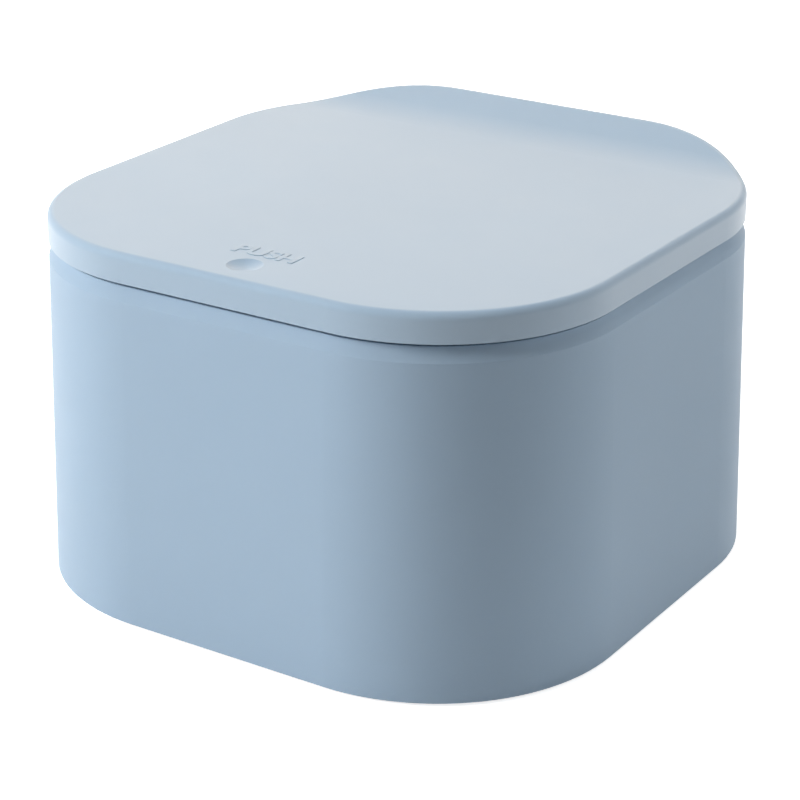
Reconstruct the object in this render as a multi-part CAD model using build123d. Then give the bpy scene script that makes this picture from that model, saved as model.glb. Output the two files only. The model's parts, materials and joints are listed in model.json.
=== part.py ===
"""Push top countertop bin: a flared square sleeve, a lift-off frame and a sprung lid.

Millimetres, +Z up, front at -Y. The origin is the middle of the footprint, on the counter.
The lid turns on two pins at the back of the frame. A push latch in the front of the frame
holds a striker that hangs from the lid, and two torsion springs throw the lid open.
"""
from build123d import *

import math
import os

# --- driving dimensions: sleeve ------------------------------------------------------------
SHOULDER_WIDTH = 175.0      # across the flats, at the foot of the bevelled shoulder
SHOULDER_CORNER = 54.5      # plan radius of the corners at that height
BASE_FLARE = 2.5            # how far each side stands out further down at the bottom edge
WALL_HEIGHT = 96.2          # bottom edge to the foot of the shoulder
SHOULDER_HEIGHT = 4.1
SHOULDER_INSET = 1.75
SHELL_WALL = 2.4
FOOT_PROUD = 0.8            # how far the feet lift the bottom edge off the counter
RIM_LAND = 1.65             # flat top of the rim inside the shoulder
RECESS_DEPTH = 2.6          # recess that takes the frame's flange
LEDGE_WIDTH = 3.0
LEDGE_THICKNESS = 2.2
EDGE_BREAK = 0.4            # small bevel on moulded outer edges

# --- driving dimensions: base --------------------------------------------------------------
BASE_THICKNESS = 2.4
BASE_RECESS = 1.0           # base plate above the sleeve's bottom edge
BASE_GAP = 0.3
BOSS_RADIUS = 4.0
BOSS_HEIGHT = 14.0
BOSS_WEB = 2.0
BOSS_SETBACK = 7.5          # boss axis in from the inner wall, along the diagonal
PLATE_BOLT_GAP = 0.3        # clearance of a screw in the plate that it holds
FOOT_RADIUS = 8.0
FOOT_SEAT = 1.2             # depth of the feet's seats in the base plate
FOOT_SPACING = 22.0         # foot to the base screw outside it, along the diagonal
LOCATING_RIB_HEIGHT = 4.0
LOCATING_RIB_WALL = 1.6
LOCATING_RIB_GAP = 0.8

# --- driving dimensions: bucket ------------------------------------------------------------
BUCKET_LIFT_GAP = 1.5       # bucket rim to the sleeve's mouth
BUCKET_WALL = 1.8
BUCKET_LIP = 2.4            # how far the rim stands out from the wall
BUCKET_LIP_DROP = 4.0
BUCKET_DRAFT = 4.6          # how much smaller the bottom is, each side
BUCKET_BOTTOM_RADIUS = 8.0
BUCKET_TO_FRAME = 0.5       # rim to the underside of the frame
BUCKET_TO_LATCH = 0.8
REST_GAP = 0.1              # between flat faces that rest on each other

# --- driving dimensions: frame -------------------------------------------------------------
FLANGE_GAP = 0.3
FLANGE_THICKNESS = 1.8
SKIRT_GAP = 0.35
SKIRT_WALL = 1.8
SKIRT_DROP = 5.0
MOUTH_SETBACK = 0.4         # mouth edge inside the bucket's wall
MOUTH_REAR_SETBACK = 2.4
FRAME_RIB = 1.2
PAD_THICKNESS = 3.6         # extra thickness under the flange around the latch

# --- driving dimensions: lid ---------------------------------------------------------------
LID_INSET = 0.5             # lid edge inside the foot of the shoulder
LID_CORNER_TIGHTENING = 1.0  # how much tighter than the sleeve the lid's corners are
LID_GAP = 1.1               # rim of the lid above the rim of the sleeve
LID_RIM_HEIGHT = 8.4
LID_SKIN = 2.2
LID_EDGE_RADIUS = 2.1
RAMP_ANGLE = 18.3           # slope of the raised back edge
RAMP_BLEND_RADIUS = 43.75
RAMP_RUN = 13.4             # straight part of the slope, measured along Y
REAR_RELIEF = 1.0           # the rim is cut back by this much where it swings down
RELIEF_RUN = 17.0
DIMPLE_RADIUS = 5.0
DIMPLE_DEPTH = 1.2
DIMPLE_SETBACK = 11.2       # dimple centre from the lid's front edge
LID_RIB = 1.4
LID_RIB_HEIGHT = 3.0
LID_RIB_SPACING = 36.0
LINER_THICKNESS = 1.8
LINER_LAP = 1.0             # liner panel beyond its plug
LINER_RECESS = 0.2          # liner above the lid's lower edge
PLUG_GAP = 1.6
PLUG_WALL = 1.8
PLUG_DROP = 6.2
SEAL_HEIGHT = 2.0
SEAL_GROOVE = 1.0
SEAL_GAP = 0.3
SEAL_FROM_TIP = 1.0
LID_BOSS_RADIUS = 3.0
LID_BOSS_SIDE = 15.6        # lid boss in from the side of the liner's plug
LID_BOSS_FRONT = 14.8       # lid boss in from the front of the liner's plug

# --- driving dimensions: hinge -------------------------------------------------------------
OPEN_ANGLE = 88.0
PIN_RADIUS = 1.2
PIN_RUNNING_GAP = 0.05
PIN_SEAT_GAP = 0.02
TOWER_RADIUS = 2.5
TOWER_THICKNESS = 3.6
TOWER_SETBACK = 0.3         # tower's back face inside the flange's edge
HINGE_ROOM = 0.5            # tower's round top to the underside of the slope
HINGE_SPREAD = 19.2         # middle of the inner tower from the middle plane
KNUCKLE_WIDTH = 5.6
KNUCKLE_RADIUS = 2.9
SIDE_GAP = 0.6              # between neighbours along the pin
TOWER_SLOT_GAP = 0.5
COIL_WIRE = 0.4             # radius of the torsion spring's wire
COIL_RADIUS = 2.1
COIL_TURNS = 5
COIL_PITCH = 1.0
COIL_PUSH_LEG = 5.5
WIRE_SIDES = 8              # flats round the wire of a coil
STOP_THICKNESS = 1.5
STOP_GAP = 0.3

# --- driving dimensions: latch -------------------------------------------------------------
LATCH_WIDTH = 22.0
LATCH_DEPTH = 9.2
LATCH_HEIGHT = 26.0
LATCH_WALL = 1.5
LATCH_FLOOR = 1.6
LATCH_GAP = 0.15            # housing in its well, and to the skirt
LATCH_FLANGE_WIDTH = 36.0
LATCH_FLANGE_THICKNESS = 1.4
LATCH_BOSS_RADIUS = 2.7
LATCH_BOSS_DROP = 4.0
SLIDE_GAP = 0.3
SHUTTLE_TRAVEL = 6.0        # how far the shuttle rises as it lets the striker go
SHUTTLE_BASE = 3.5
SHUTTLE_CHEEK = 1.1
SHUTTLE_TOP_MARGIN = 1.3    # cheeks below the housing's mouth once the shuttle is up
SPRING_SPACE = 8.6          # from the housing's floor to the shuttle at rest
JAW_SPREAD = 5.6            # jaw pivot from the middle plane
JAW_BOSS_RADIUS = 1.9
JAW_PIVOT_DEPTH = 9.8       # jaw pivot below the housing's mouth
JAW_ARM = 8.0               # pivot to the top of the jaw
JAW_HOOK_THICKNESS = 2.0
JAW_HOOK_LEAD = 1.3         # slope that leads the striker in
JAW_PIN_RADIUS = 0.7
JAW_SIDE_GAP = 0.1
LATCH_SPRING_RADIUS = 2.2
LATCH_SPRING_WIRE = 0.3
LATCH_SPRING_TURNS = 5
SPIGOT_RADIUS = 1.5
SPIGOT_HEIGHT = 1.6
STRIKER_STEM = 2.0
STRIKER_HEAD = 5.8
STRIKER_HEAD_HEIGHT = 2.8
STRIKER_DEPTH = 2.6
STRIKER_GAP = 0.3
ANVIL_GAP = 1.1             # striker to the shuttle: the lid's push travel and a little more
STRIKER_SIDE_GAP = 0.5       # striker's base inside the housing's walls
STRIKER_BASE_DEPTH = 7.0
STRIKER_BASE_THICKNESS = 2.2
STRIKER_BOSS_DROP = 2.4
STRIKER_SCREW_SPREAD = 6.0

# --- driving dimensions: screws ------------------------------------------------------------
SCREW_RADIUS = 1.3
SCREW_HEAD_RADIUS = 2.5
SCREW_HEAD_HEIGHT = 1.5
SCREW_LENGTH = 9.0
SMALL_SCREW_RADIUS = 0.9
SMALL_HEAD_RADIUS = 1.7
SMALL_HEAD_HEIGHT = 1.0
SMALL_SCREW_LENGTH = 6.0
THREAD_GAP = 0.02           # screw in the boss that it is driven into
BLIND_END = 0.6             # hole beyond a screw's tip

DIAGONAL = math.sqrt(0.5)   # share of a diagonal length along X or Y
ACROSS = 0.99               # an edge whose direction has this share of X runs across
UPRIGHT = 0.9               # an edge whose direction has this share of Z stands upright

# --- heights and outlines that follow from the sizes above ---------------------------------
# An outline is (half width, front reach, back reach, corner radius), seen from above.
bottom_z = FOOT_PROUD
shoulder_z = bottom_z + WALL_HEIGHT
rim_z = shoulder_z + SHOULDER_HEIGHT
ledge_z = rim_z - RECESS_DEPTH
ledge_under_z = ledge_z - LEDGE_THICKNESS
flange_z = ledge_z + FLANGE_THICKNESS
frame_bottom_z = ledge_z - SKIRT_DROP
lid_edge_z = rim_z + LID_GAP
lid_top_z = lid_edge_z + LID_RIM_HEIGHT
lid_under_z = lid_top_z - LID_SKIN
liner_z = lid_edge_z + LINER_RECESS
liner_top_z = liner_z + LINER_THICKNESS
plate_z = bottom_z + BASE_RECESS
plate_top_z = plate_z + BASE_THICKNESS
bucket_z = plate_top_z + REST_GAP
bucket_rim_z = frame_bottom_z - BUCKET_TO_FRAME


def inset(outline, distance):
    """The outline moved inward by a distance on all sides."""
    return tuple(value - distance for value in outline)


def square(half, corner):
    return (half, half, half, corner)


shoulder = square(SHOULDER_WIDTH / 2, SHOULDER_CORNER)
base = inset(shoulder, -BASE_FLARE)
shell_mouth = inset(shoulder, SHOULDER_INSET + RIM_LAND + LEDGE_WIDTH)
shell_recess = inset(shoulder, SHOULDER_INSET + RIM_LAND)
flange = inset(shell_recess, FLANGE_GAP)
skirt = inset(shell_mouth, SKIRT_GAP)
skirt_inner = inset(skirt, SKIRT_WALL)

latch_y = -(skirt_inner[1] - LATCH_GAP - LATCH_DEPTH / 2)
latch_back = -latch_y - LATCH_DEPTH / 2

bucket_rim = inset(shell_mouth, BUCKET_LIFT_GAP)
bucket_rim = (bucket_rim[0], latch_back - BUCKET_TO_LATCH, bucket_rim[2], bucket_rim[3])
bucket_wall = inset(bucket_rim, BUCKET_LIP)
bucket_inner = inset(bucket_wall, BUCKET_WALL)
bucket_floor = inset(bucket_wall, BUCKET_DRAFT)

mouth = inset(bucket_inner, MOUTH_SETBACK)
mouth = (mouth[0], mouth[1], bucket_inner[2] - MOUTH_REAR_SETBACK, mouth[3])
mouth_wall = inset(mouth, -SKIRT_WALL)

lid = square(SHOULDER_WIDTH / 2 - LID_INSET, SHOULDER_CORNER - LID_INSET - LID_CORNER_TIGHTENING)
lid_inner = inset(lid, LID_SKIN)
plug = inset(mouth, PLUG_GAP)
plug_inner = inset(plug, PLUG_WALL)
liner = inset(plug, -LINER_LAP)
lid_boss_x = plug_inner[0] - LID_BOSS_SIDE
lid_boss_y = plug_inner[1] - LID_BOSS_FRONT

slope = math.tan(math.radians(RAMP_ANGLE))
ramp_foot_y = lid[2] - RAMP_RUN
blend_foot_y = ramp_foot_y - RAMP_BLEND_RADIUS * math.sin(math.radians(RAMP_ANGLE))
ramp_foot_z = lid_top_z + RAMP_BLEND_RADIUS * (1 - math.cos(math.radians(RAMP_ANGLE)))
lid_back_z = ramp_foot_z + RAMP_RUN * slope

# hinge axis: under the slope, its towers flush with the back of the frame
hinge_y = flange[2] - TOWER_SETBACK - TOWER_RADIUS
ramp_under_z = lid_back_z - (lid[2] - hinge_y) * slope - LID_SKIN / math.cos(math.radians(RAMP_ANGLE))
hinge_z = ramp_under_z - (TOWER_RADIUS + HINGE_ROOM) / math.cos(math.radians(RAMP_ANGLE))
knuckle_x = HINGE_SPREAD + (TOWER_THICKNESS + KNUCKLE_WIDTH) / 2 + SIDE_GAP
coil_start_x = knuckle_x + KNUCKLE_WIDTH / 2 + SIDE_GAP + COIL_WIRE
coil_end_x = coil_start_x + COIL_TURNS * COIL_PITCH
outer_tower_x = coil_end_x + COIL_WIRE + SIDE_GAP + TOWER_THICKNESS / 2

# latch heights, down from the top of its housing, which is flush with the frame's flange
latch_floor_z = flange_z - LATCH_HEIGHT + LATCH_FLOOR
shuttle_z = latch_floor_z + SPRING_SPACE
jaw_pivot_z = flange_z - JAW_PIVOT_DEPTH
jaw_top_z = jaw_pivot_z + JAW_ARM
head_top_z = jaw_top_z - JAW_HOOK_THICKNESS - STRIKER_GAP
head_z = head_top_z - STRIKER_HEAD_HEIGHT
anvil_z = head_z - ANVIL_GAP
striker_base_z = lid_under_z - STRIKER_BOSS_DROP - STRIKER_BASE_THICKNESS


# --- shared shapes -------------------------------------------------------------------------
def face_at(outline, z):
    """Rounded rectangle of an outline, at height z."""
    half, front, back, corner = outline
    return Pos(0, (back - front) / 2, z) * RectangleRounded(2 * half, front + back, corner)


def prism(outline, z_low, z_high):
    return extrude(face_at(outline, z_low), z_high - z_low)


def taper(outline_low, z_low, outline_high, z_high):
    """Solid whose sides lean evenly from one outline to the same outline moved inward."""
    height = z_high - z_low
    lean = math.degrees(math.atan2(outline_low[0] - outline_high[0], height))
    return extrude(face_at(outline_low, z_low), height, taper=lean)


def ring(outer, inner, z_low, z_high):
    return prism(outer, z_low, z_high) - prism(inner, z_low, z_high)


def block(x_low, x_high, y_low, y_high, z_low, z_high):
    size = (x_high - x_low, y_high - y_low, z_high - z_low)
    middle = Pos((x_low + x_high) / 2, (y_low + y_high) / 2, (z_low + z_high) / 2)
    return middle * Box(*size)


def post(radius, x, y, z_low, z_high):
    return Pos(x, y, (z_low + z_high) / 2) * Cylinder(radius, z_high - z_low)


def bar_x(radius, x_low, x_high, y, z):
    """Round bar along X."""
    middle = Pos((x_low + x_high) / 2, y, z)
    return middle * Rot(0, 90, 0) * Cylinder(radius, x_high - x_low)


def bar_y(radius, x, y_low, y_high, z):
    """Round bar along Y."""
    middle = Pos(x, (y_low + y_high) / 2, z)
    return middle * Rot(90, 0, 0) * Cylinder(radius, y_high - y_low)


def four_corners(reach_x, reach_y):
    return [(sx * reach_x, sy * reach_y) for sx in (-1, 1) for sy in (-1, 1)]


def screw_up(x, y, z, radius, length, head_radius, head_height):
    """Screw driven upward, the underside of its head at z."""
    head = post(head_radius, x, y, z - head_height, z)
    return head + post(radius, x, y, z, z + length)


def wall_outline(z, depth=0.0):
    """Outline of the flared wall at height z, a depth in from the outside."""
    share = (shoulder_z - z) / WALL_HEIGHT
    return inset(shoulder, depth - BASE_FLARE * share)


def swing(point, angle):
    """Where a (y, z) point of the lid is once the lid has opened by an angle."""
    turn = math.radians(angle)
    y = point[0] - hinge_y
    z = point[1] - hinge_z
    turned_y = hinge_y + y * math.cos(turn) + z * math.sin(turn)
    turned_z = hinge_z - y * math.sin(turn) + z * math.cos(turn)
    return turned_y, turned_z


# --- sleeve and base -----------------------------------------------------------------------
boss_reach = base[0] - SHELL_WALL - base[3] + (base[3] - BOSS_SETBACK) * DIAGONAL
boss_z = plate_top_z + REST_GAP
foot_reach = boss_reach - FOOT_SPACING * DIAGONAL


def outer_shell():
    """Open-bottomed sleeve: flared wall, bevelled shoulder, recessed ledge, screw bosses."""
    chamfer_z = ledge_under_z - shell_mouth_step()
    outside = taper(base, bottom_z, shoulder, shoulder_z)
    outside += taper(shoulder, shoulder_z, inset(shoulder, SHOULDER_INSET), rim_z)
    room = taper(inset(base, SHELL_WALL), bottom_z, wall_outline(chamfer_z, SHELL_WALL), chamfer_z)
    room += taper(wall_outline(chamfer_z, SHELL_WALL), chamfer_z, shell_mouth, ledge_under_z)
    room += prism(shell_mouth, ledge_under_z, ledge_z)
    room += prism(shell_recess, ledge_z, rim_z)
    shell = outside - room
    for x, y in four_corners(boss_reach, boss_reach):
        shell += screw_boss(x, y) & outside
    hole_top_z = plate_z + SCREW_LENGTH + BLIND_END
    for x, y in four_corners(boss_reach, boss_reach):
        shell -= post(SCREW_RADIUS + THREAD_GAP, x, y, boss_z, hole_top_z)
    low_edges = shell.edges().filter_by_position(Axis.Z, bottom_z, bottom_z)
    return chamfer(low_edges, EDGE_BREAK)


def shell_mouth_step():
    """How far the ledge stands in from the inside of the wall."""
    return wall_outline(ledge_under_z, SHELL_WALL)[0] - shell_mouth[0]


def screw_boss(x, y):
    """Boss in a corner of the sleeve, joined to the wall by a web along the diagonal."""
    web_length = BOSS_SETBACK + SHELL_WALL / 2
    angle = math.degrees(math.atan2(y, x))
    web = Pos(web_length / 2, 0, 0) * Box(web_length, BOSS_WEB, BOSS_HEIGHT)
    web = Pos(x, y, boss_z + BOSS_HEIGHT / 2) * Rot(0, 0, angle) * web
    return post(BOSS_RADIUS, x, y, boss_z, boss_z + BOSS_HEIGHT) + web


def base_plate():
    """Floor of the sleeve, with seats for feet and a rib that locates the bucket."""
    edge = wall_outline(plate_top_z, SHELL_WALL + BASE_GAP)
    plate = prism(edge, plate_z, plate_top_z)
    rib_inner = inset(bucket_floor, -LOCATING_RIB_GAP)
    rib_outer = inset(rib_inner, -LOCATING_RIB_WALL)
    plate += ring(rib_outer, rib_inner, plate_top_z, plate_top_z + LOCATING_RIB_HEIGHT)
    for x, y in four_corners(foot_reach, foot_reach):
        plate -= post(FOOT_RADIUS + REST_GAP, x, y, plate_z, plate_z + FOOT_SEAT)
    for x, y in four_corners(boss_reach, boss_reach):
        plate -= post(SCREW_RADIUS + PLATE_BOLT_GAP, x, y, plate_z, plate_top_z)
    return plate


def rubber_feet():
    feet = []
    for x, y in four_corners(foot_reach, foot_reach):
        feet.append(post(FOOT_RADIUS, x, y, 0, plate_z + FOOT_SEAT))
    return feet


def base_screws():
    sizes = (SCREW_RADIUS, SCREW_LENGTH, SCREW_HEAD_RADIUS, SCREW_HEAD_HEIGHT)
    return [screw_up(x, y, plate_z, *sizes) for x, y in four_corners(boss_reach, boss_reach)]


# --- bucket --------------------------------------------------------------------------------
def inner_bucket():
    """Tapered bucket with a rounded foot and a rolled rim to lift it by."""
    outside = taper(bucket_floor, bucket_z, bucket_wall, bucket_rim_z)
    foot = outside.edges().filter_by_position(Axis.Z, bucket_z, bucket_z)
    outside = fillet(foot, BUCKET_BOTTOM_RADIUS)
    floor_z = bucket_z + BUCKET_WALL
    room = taper(inset(bucket_floor, BUCKET_WALL), floor_z, bucket_inner, bucket_rim_z)
    inner_foot = room.edges().filter_by_position(Axis.Z, floor_z, floor_z)
    room = fillet(inner_foot, BUCKET_BOTTOM_RADIUS - BUCKET_WALL)
    lip = prism(bucket_rim, bucket_rim_z - BUCKET_LIP_DROP, bucket_rim_z)
    lip_room = inset(bucket_rim, BUCKET_WALL / 2)
    lip -= prism(lip_room, bucket_rim_z - BUCKET_LIP_DROP, bucket_rim_z - BUCKET_WALL)
    return outside + lip - room


# --- frame ---------------------------------------------------------------------------------
def tower(x, side):
    """Hinge tower: a flat upright with a round top, bored for the pin."""
    middle = side * x
    low = middle - TOWER_THICKNESS / 2
    high = middle + TOWER_THICKNESS / 2
    front = hinge_y - TOWER_RADIUS
    back = hinge_y + TOWER_RADIUS
    upright = block(low, high, front, back, flange_z, hinge_z)
    return upright + bar_x(TOWER_RADIUS, low, high, hinge_y, hinge_z)


def stop_rib(side):
    """Upstand that the back edge of the lid meets when the lid is fully open."""
    edge_y, edge_z = swing((lid[2], lid_edge_z + REAR_RELIEF), OPEN_ANGLE)
    back = edge_y - STOP_GAP
    middle = side * knuckle_x
    half = KNUCKLE_WIDTH / 2
    top_z = edge_z + STOP_THICKNESS
    return block(middle - half, middle + half, back - STOP_THICKNESS, back, flange_z, top_z)


def frame_ribs():
    """Ribs in the channel between the frame's two skirts."""
    ribs = []
    half = FRAME_RIB / 2
    side_reach = mouth[0] / 2
    for y in (-side_reach, 0, side_reach):
        for side in (-1, 1):
            ends = sorted((side * mouth_wall[0], side * skirt_inner[0]))
            ribs.append(block(*ends, y - half, y + half, frame_bottom_z, ledge_z))
    rear = (mouth_wall[2], skirt_inner[2])
    front = (-skirt_inner[1], -mouth_wall[1])
    for x in (-side_reach, 0, side_reach):
        ribs.append(block(x - half, x + half, *rear, frame_bottom_z, ledge_z))
    for x in (-side_reach, side_reach):
        ribs.append(block(x - half, x + half, *front, frame_bottom_z, ledge_z))
    return ribs


def top_frame():
    """Lift-off frame: flange, two skirts with ribs between, hinge towers and latch well."""
    frame = ring(flange, mouth, ledge_z, flange_z)
    frame += ring(skirt, skirt_inner, frame_bottom_z, ledge_z)
    frame += ring(mouth_wall, mouth, frame_bottom_z, ledge_z)
    for rib in frame_ribs():
        frame += rib
    pad_half = LATCH_FLANGE_WIDTH / 2 + LATCH_WALL
    pad_z = ledge_z - PAD_THICKNESS
    frame += block(-pad_half, pad_half, -skirt_inner[1], -mouth_wall[1], pad_z, ledge_z)
    for side in (-1, 1):
        boss_x = side * latch_screw_x()
        boss_low_z = pad_z - LATCH_BOSS_DROP
        frame += post(LATCH_BOSS_RADIUS, boss_x, latch_y, boss_low_z, ledge_z)
        frame += tower(HINGE_SPREAD, side)
        frame += tower(outer_tower_x, side)
        frame += stop_rib(side)
    well_half = LATCH_WIDTH / 2 + LATCH_GAP
    well_y = (latch_y - LATCH_DEPTH / 2 - LATCH_GAP, latch_y + LATCH_DEPTH / 2 + LATCH_GAP)
    frame -= block(-well_half, well_half, *well_y, pad_z, flange_z)
    seat_half = LATCH_FLANGE_WIDTH / 2 + LATCH_GAP
    seat_z = flange_z - LATCH_FLANGE_THICKNESS - REST_GAP
    frame -= block(-seat_half, seat_half, *well_y, seat_z, flange_z)
    hole_z = flange_z - SMALL_SCREW_LENGTH - BLIND_END
    for side in (-1, 1):
        x = side * latch_screw_x()
        frame -= post(SMALL_SCREW_RADIUS + THREAD_GAP, x, latch_y, hole_z, flange_z)
        pin_ends = sorted((side * pin_inner_x(), side * pin_outer_x()))
        frame -= bar_x(PIN_RADIUS + PIN_SEAT_GAP, *pin_ends, hinge_y, hinge_z)
    return frame


def latch_screw_x():
    return (LATCH_WIDTH + LATCH_FLANGE_WIDTH) / 4


def pin_inner_x():
    return HINGE_SPREAD - TOWER_THICKNESS / 2


def pin_outer_x():
    return outer_tower_x + TOWER_THICKNESS / 2


def hinge_pins():
    pins = []
    for side in (-1, 1):
        ends = sorted((side * pin_inner_x(), side * pin_outer_x()))
        pins.append(bar_x(PIN_RADIUS, *ends, hinge_y, hinge_z))
    return pins


def opening_spring(side):
    """Torsion spring on the pin: coils, a leg under the lid and a leg hooked on the frame."""
    coil_path = Helix(COIL_PITCH, COIL_TURNS * COIL_PITCH, COIL_RADIUS)
    outline = RegularPolygon(COIL_WIRE, WIRE_SIDES)
    section = Plane(origin=coil_path @ 0, z_dir=coil_path % 0) * outline
    coil = sweep(section, path=coil_path, is_frenet=True)
    coil = Pos(coil_start_x, hinge_y, hinge_z) * Rot(0, 90, 0) * coil
    low_z = hinge_z - COIL_RADIUS
    hook_y = (mouth[2] + mouth_wall[2]) / 2
    wire = COIL_WIRE
    across = (coil_start_x - wire, coil_start_x + wire)
    foot = block(*across, hook_y, hinge_y, low_z - wire, low_z + wire)
    foot += block(*across, hook_y - wire, hook_y + wire, flange_z + REST_GAP, low_z + wire)
    push = Pos(0, -COIL_PUSH_LEG / 2, COIL_RADIUS) * Rot(90, 0, 0) * Cylinder(wire, COIL_PUSH_LEG)
    push = Pos(coil_end_x, hinge_y, hinge_z) * Rot(RAMP_ANGLE, 0, 0) * push
    spring = coil + foot + push
    return spring if side > 0 else mirror(spring, about=Plane.YZ)


# --- lid -----------------------------------------------------------------------------------
def side_form(drop):
    """Everything under the lid's side profile, or under the same profile a drop lower."""
    arc_centre = (blend_foot_y, lid_top_z + RAMP_BLEND_RADIUS)
    radius = RAMP_BLEND_RADIUS + drop
    arc = CenterArc(arc_centre, radius, -90, RAMP_ANGLE)
    front = -lid[1] - drop
    back = lid[2] + drop
    back_z = (arc @ 1).Y + (back - (arc @ 1).X) * slope
    flat = Line((front, (arc @ 0).Y), arc @ 0)
    ramp = Line(arc @ 1, (back, back_z))
    rest = Polyline((back, back_z), (back, lid_edge_z), (front, lid_edge_z), (front, (arc @ 0).Y))
    profile = make_face(flat + arc + ramp + rest)
    return extrude(Plane.YZ * profile, lid[0], both=True)


def top_perimeter(solid):
    """Edges all round the top of the lid, without the lines that cross it."""
    edges = []
    for edge in solid.edges():
        direction = edge.tangent_at(0.5)
        inside = abs(edge.center().Y) < ramp_foot_y + EDGE_BREAK
        crosses = abs(direction.X) > ACROSS and inside
        if edge.bounding_box().min.Z > lid_edge_z + EDGE_BREAK and not crosses:
            if edge.length > EDGE_BREAK and abs(direction.Z) < UPRIGHT:
                edges.append(edge)
    return edges


def relief():
    """Wedge cut from the back of the rim, where it swings down as the lid opens."""
    corner = (lid[2] - RELIEF_RUN, lid_edge_z)
    rise = REAR_RELIEF * (RELIEF_RUN + EDGE_BREAK) / RELIEF_RUN
    back = lid[2] + EDGE_BREAK
    wedge = make_face(Polyline(corner, (back, lid_edge_z), (back, lid_edge_z + rise), corner))
    return extrude(Plane.YZ * wedge, lid[0], both=True)


def tower_slots():
    """Slots in the back wall of the lid that the hinge towers pass through."""
    slots = []
    half = TOWER_THICKNESS / 2 + TOWER_SLOT_GAP
    top_z = hinge_z + TOWER_RADIUS + TOWER_SLOT_GAP / 2
    for middle in (HINGE_SPREAD, outer_tower_x):
        for side in (-1, 1):
            x = side * middle
            slots.append(block(x - half, x + half, hinge_y, lid[2], lid_edge_z, top_z))
    return slots


def knuckle(side):
    """Hinge knuckle under the slope, with a web up to the skin."""
    low = side * knuckle_x - KNUCKLE_WIDTH / 2
    high = side * knuckle_x + KNUCKLE_WIDTH / 2
    round_part = bar_x(KNUCKLE_RADIUS, low, high, hinge_y, hinge_z)
    front = hinge_y - KNUCKLE_RADIUS
    back = hinge_y + KNUCKLE_RADIUS
    return round_part + block(low, high, front, back, hinge_z, lid_back_z)


def lid_cover():
    """Lid: rim, rounded edge, back edge swept up in a slope, dimple and hinge knuckles."""
    outside = prism(lid, lid_edge_z, lid_back_z) & side_form(0)
    outside = fillet(top_perimeter(outside), LID_EDGE_RADIUS)
    room = prism(lid_inner, lid_edge_z, lid_back_z) & side_form(LID_SKIN)
    cover = outside - room
    dimple_y = -lid[1] + DIMPLE_SETBACK
    pad = post(DIMPLE_RADIUS + LID_SKIN / 2, 0, dimple_y, lid_under_z - DIMPLE_DEPTH, lid_under_z)
    cover += pad
    rib_z = lid_under_z - LID_RIB_HEIGHT
    rib_half = LID_RIB / 2
    for x in (-LID_RIB_SPACING, 0, LID_RIB_SPACING):
        cover += block(x - rib_half, x + rib_half, -lid_boss_y, lid_boss_y, rib_z, lid_under_z)
    for x, y in four_corners(lid_boss_x, lid_boss_y):
        cover += post(LID_BOSS_RADIUS, x, y, liner_top_z, lid_under_z)
    striker_top_z = striker_base_z + STRIKER_BASE_THICKNESS
    for side in (-1, 1):
        x = side * STRIKER_SCREW_SPREAD
        cover += post(SMALL_HEAD_RADIUS, x, latch_y, striker_top_z, lid_under_z)
        cover += knuckle(side) & outside
    ball_radius = (DIMPLE_RADIUS**2 + DIMPLE_DEPTH**2) / (2 * DIMPLE_DEPTH)
    cover -= Pos(0, dimple_y, lid_top_z + ball_radius - DIMPLE_DEPTH) * Sphere(ball_radius)
    for x, y in four_corners(lid_boss_x, lid_boss_y):
        cover -= post(SCREW_RADIUS + THREAD_GAP, x, y, liner_top_z, lid_screw_tip_z() + BLIND_END)
    for side in (-1, 1):
        x = side * STRIKER_SCREW_SPREAD
        cover -= post(SMALL_SCREW_RADIUS + THREAD_GAP, x, latch_y, striker_top_z, lid_under_z)
        ends = sorted((side * (knuckle_x - KNUCKLE_WIDTH), side * (knuckle_x + KNUCKLE_WIDTH)))
        cover -= bar_x(PIN_RADIUS + PIN_RUNNING_GAP, *ends, hinge_y, hinge_z)
    cover -= relief()
    for slot in tower_slots():
        cover -= slot
    return cover


def lid_screw_tip_z():
    return lid_under_z - BLIND_END


def lid_liner():
    """Flat inner panel of the lid, with a plug that carries the seal in a groove."""
    tip_z = liner_z - PLUG_DROP
    panel = prism(liner, liner_z, liner_top_z) + ring(plug, plug_inner, tip_z, liner_z)
    groove_z = tip_z + SEAL_FROM_TIP
    panel -= ring(plug, inset(plug, SEAL_GROOVE), groove_z, groove_z + SEAL_HEIGHT)
    for x, y in four_corners(lid_boss_x, lid_boss_y):
        panel -= post(SCREW_RADIUS + PLATE_BOLT_GAP, x, y, liner_z, liner_top_z)
    return panel


def lid_seal():
    groove_z = liner_z - PLUG_DROP + SEAL_FROM_TIP
    return ring(inset(mouth, SEAL_GAP), inset(plug, SEAL_GROOVE), groove_z, groove_z + SEAL_HEIGHT)


def lid_screws():
    length = lid_screw_tip_z() - liner_z
    sizes = (SCREW_RADIUS, length, SCREW_HEAD_RADIUS, SCREW_HEAD_HEIGHT)
    return [screw_up(x, y, liner_z, *sizes) for x, y in four_corners(lid_boss_x, lid_boss_y)]


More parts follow.
